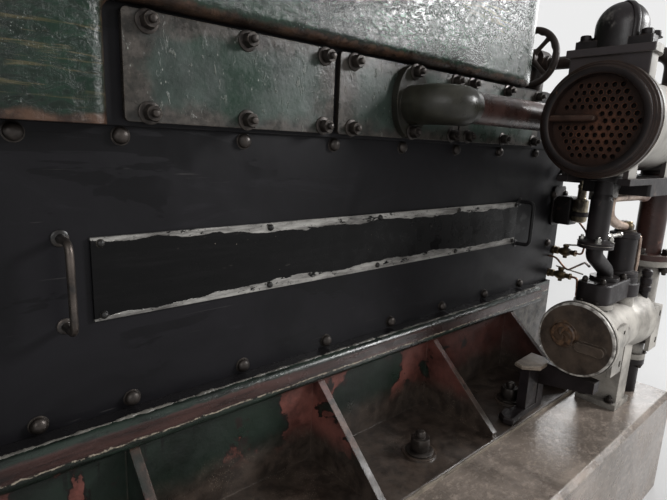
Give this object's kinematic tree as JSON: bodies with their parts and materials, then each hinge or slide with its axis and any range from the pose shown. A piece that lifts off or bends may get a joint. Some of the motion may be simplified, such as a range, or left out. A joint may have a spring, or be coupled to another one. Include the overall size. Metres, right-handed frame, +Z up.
{
  "type": "stationary oil engine",
  "caption": "Stationary vertical oil engine on its plinth, with ribbed bedplate, crankcase doors, tube cooler, water pump, flywheel and a turning hand valve.",
  "frame": {"origin": "middle of the plinth's underside, on the floor", "axes": "+X along the crankshaft towards the cooler end, +Y to the far side, +Z up"},
  "size_m": [2.174, 1.695, 2.034],
  "materials": {
    "plinth_paint": "worn glossy floor paint over concrete",
    "bed_green": "old green gloss worn to red oxide and bare iron",
    "casing_green": "glossy bottle green with runs and scratches",
    "case_black": "smudged semi-matt black",
    "plate_green": "speckled dark green",
    "name_silver": "raised strips polished, black field",
    "worn_bar": "hand-worn bare bar",
    "black_bar": "worn black",
    "pipe_brown": "oily brown",
    "cooler_grey": "chalky light grey",
    "cooler_black": "dull black",
    "tube_rust": "rusted",
    "column_brown": "brown primer",
    "pump_silver": "silver paint, chipped",
    "wheel_iron": "dark, worn",
    "flywheel_iron": "green web, oiled bright rim",
    "shaft_steel": "oiled"
  },
  "bodies": {
    "engine": {"plinth": "plinth_paint", "bedplate": "bed_green", "crankcase": "case_black", "timing_case": "case_black", "cylinder_block": "casing_green", "front_door": "case_black", "rear_door": "case_black", "nameplate": "name_silver", "front_handle_left": "worn_bar", "front_handle_right": "black_bar", "rear_handle_left": "black_bar", "rear_handle_right": "black_bar", "front_cover_1": "plate_green", "front_cover_2": "plate_green", "front_cover_3": "plate_green", "rear_cover_1": "plate_green", "rear_cover_2": "plate_green", "rear_cover_3": "plate_green", "water_elbow": "pipe_brown", "water_pipe": "pipe_brown", "cooler_shell": "cooler_grey", "cooler_ring": "cooler_black", "tube_plate": "tube_rust", "cooler_end_cover": "cooler_grey", "top_elbow": "cooler_black", "cooler_shelf": "cooler_black", "return_column": "column_brown", "pump_body": "pump_silver", "pump_cover": "cooler_black", "pump_stool": "cooler_black", "suction_pipe": "cooler_black", "valve_chest": "cooler_black", "valve_stack": "cooler_black", "relief_vessel": "cooler_black", "valve_body": "wheel_iron", "cylinder_head_1": "casing_green", "cylinder_head_2": "casing_green", "cylinder_head_3": "casing_green", "rocker_cover_1": "casing_green", "rocker_cover_2": "casing_green", "rocker_cover_3": "casing_green", "exhaust_manifold": "tube_rust", "inlet_manifold": "casing_green", "crankshaft": "shaft_steel", "flywheel": "flywheel_iron"},
    "hand_valve_wheel": {"handwheel": "wheel_iron"}
  },
  "joints": [
    {"name": "hand_valve_turn", "type": "hinge", "parent": "engine", "child": "hand_valve_wheel", "pos_m": [0.755, -0.291, 1.424], "axis": [1, 0, 0], "range_deg": [0, 660]}
  ]
}
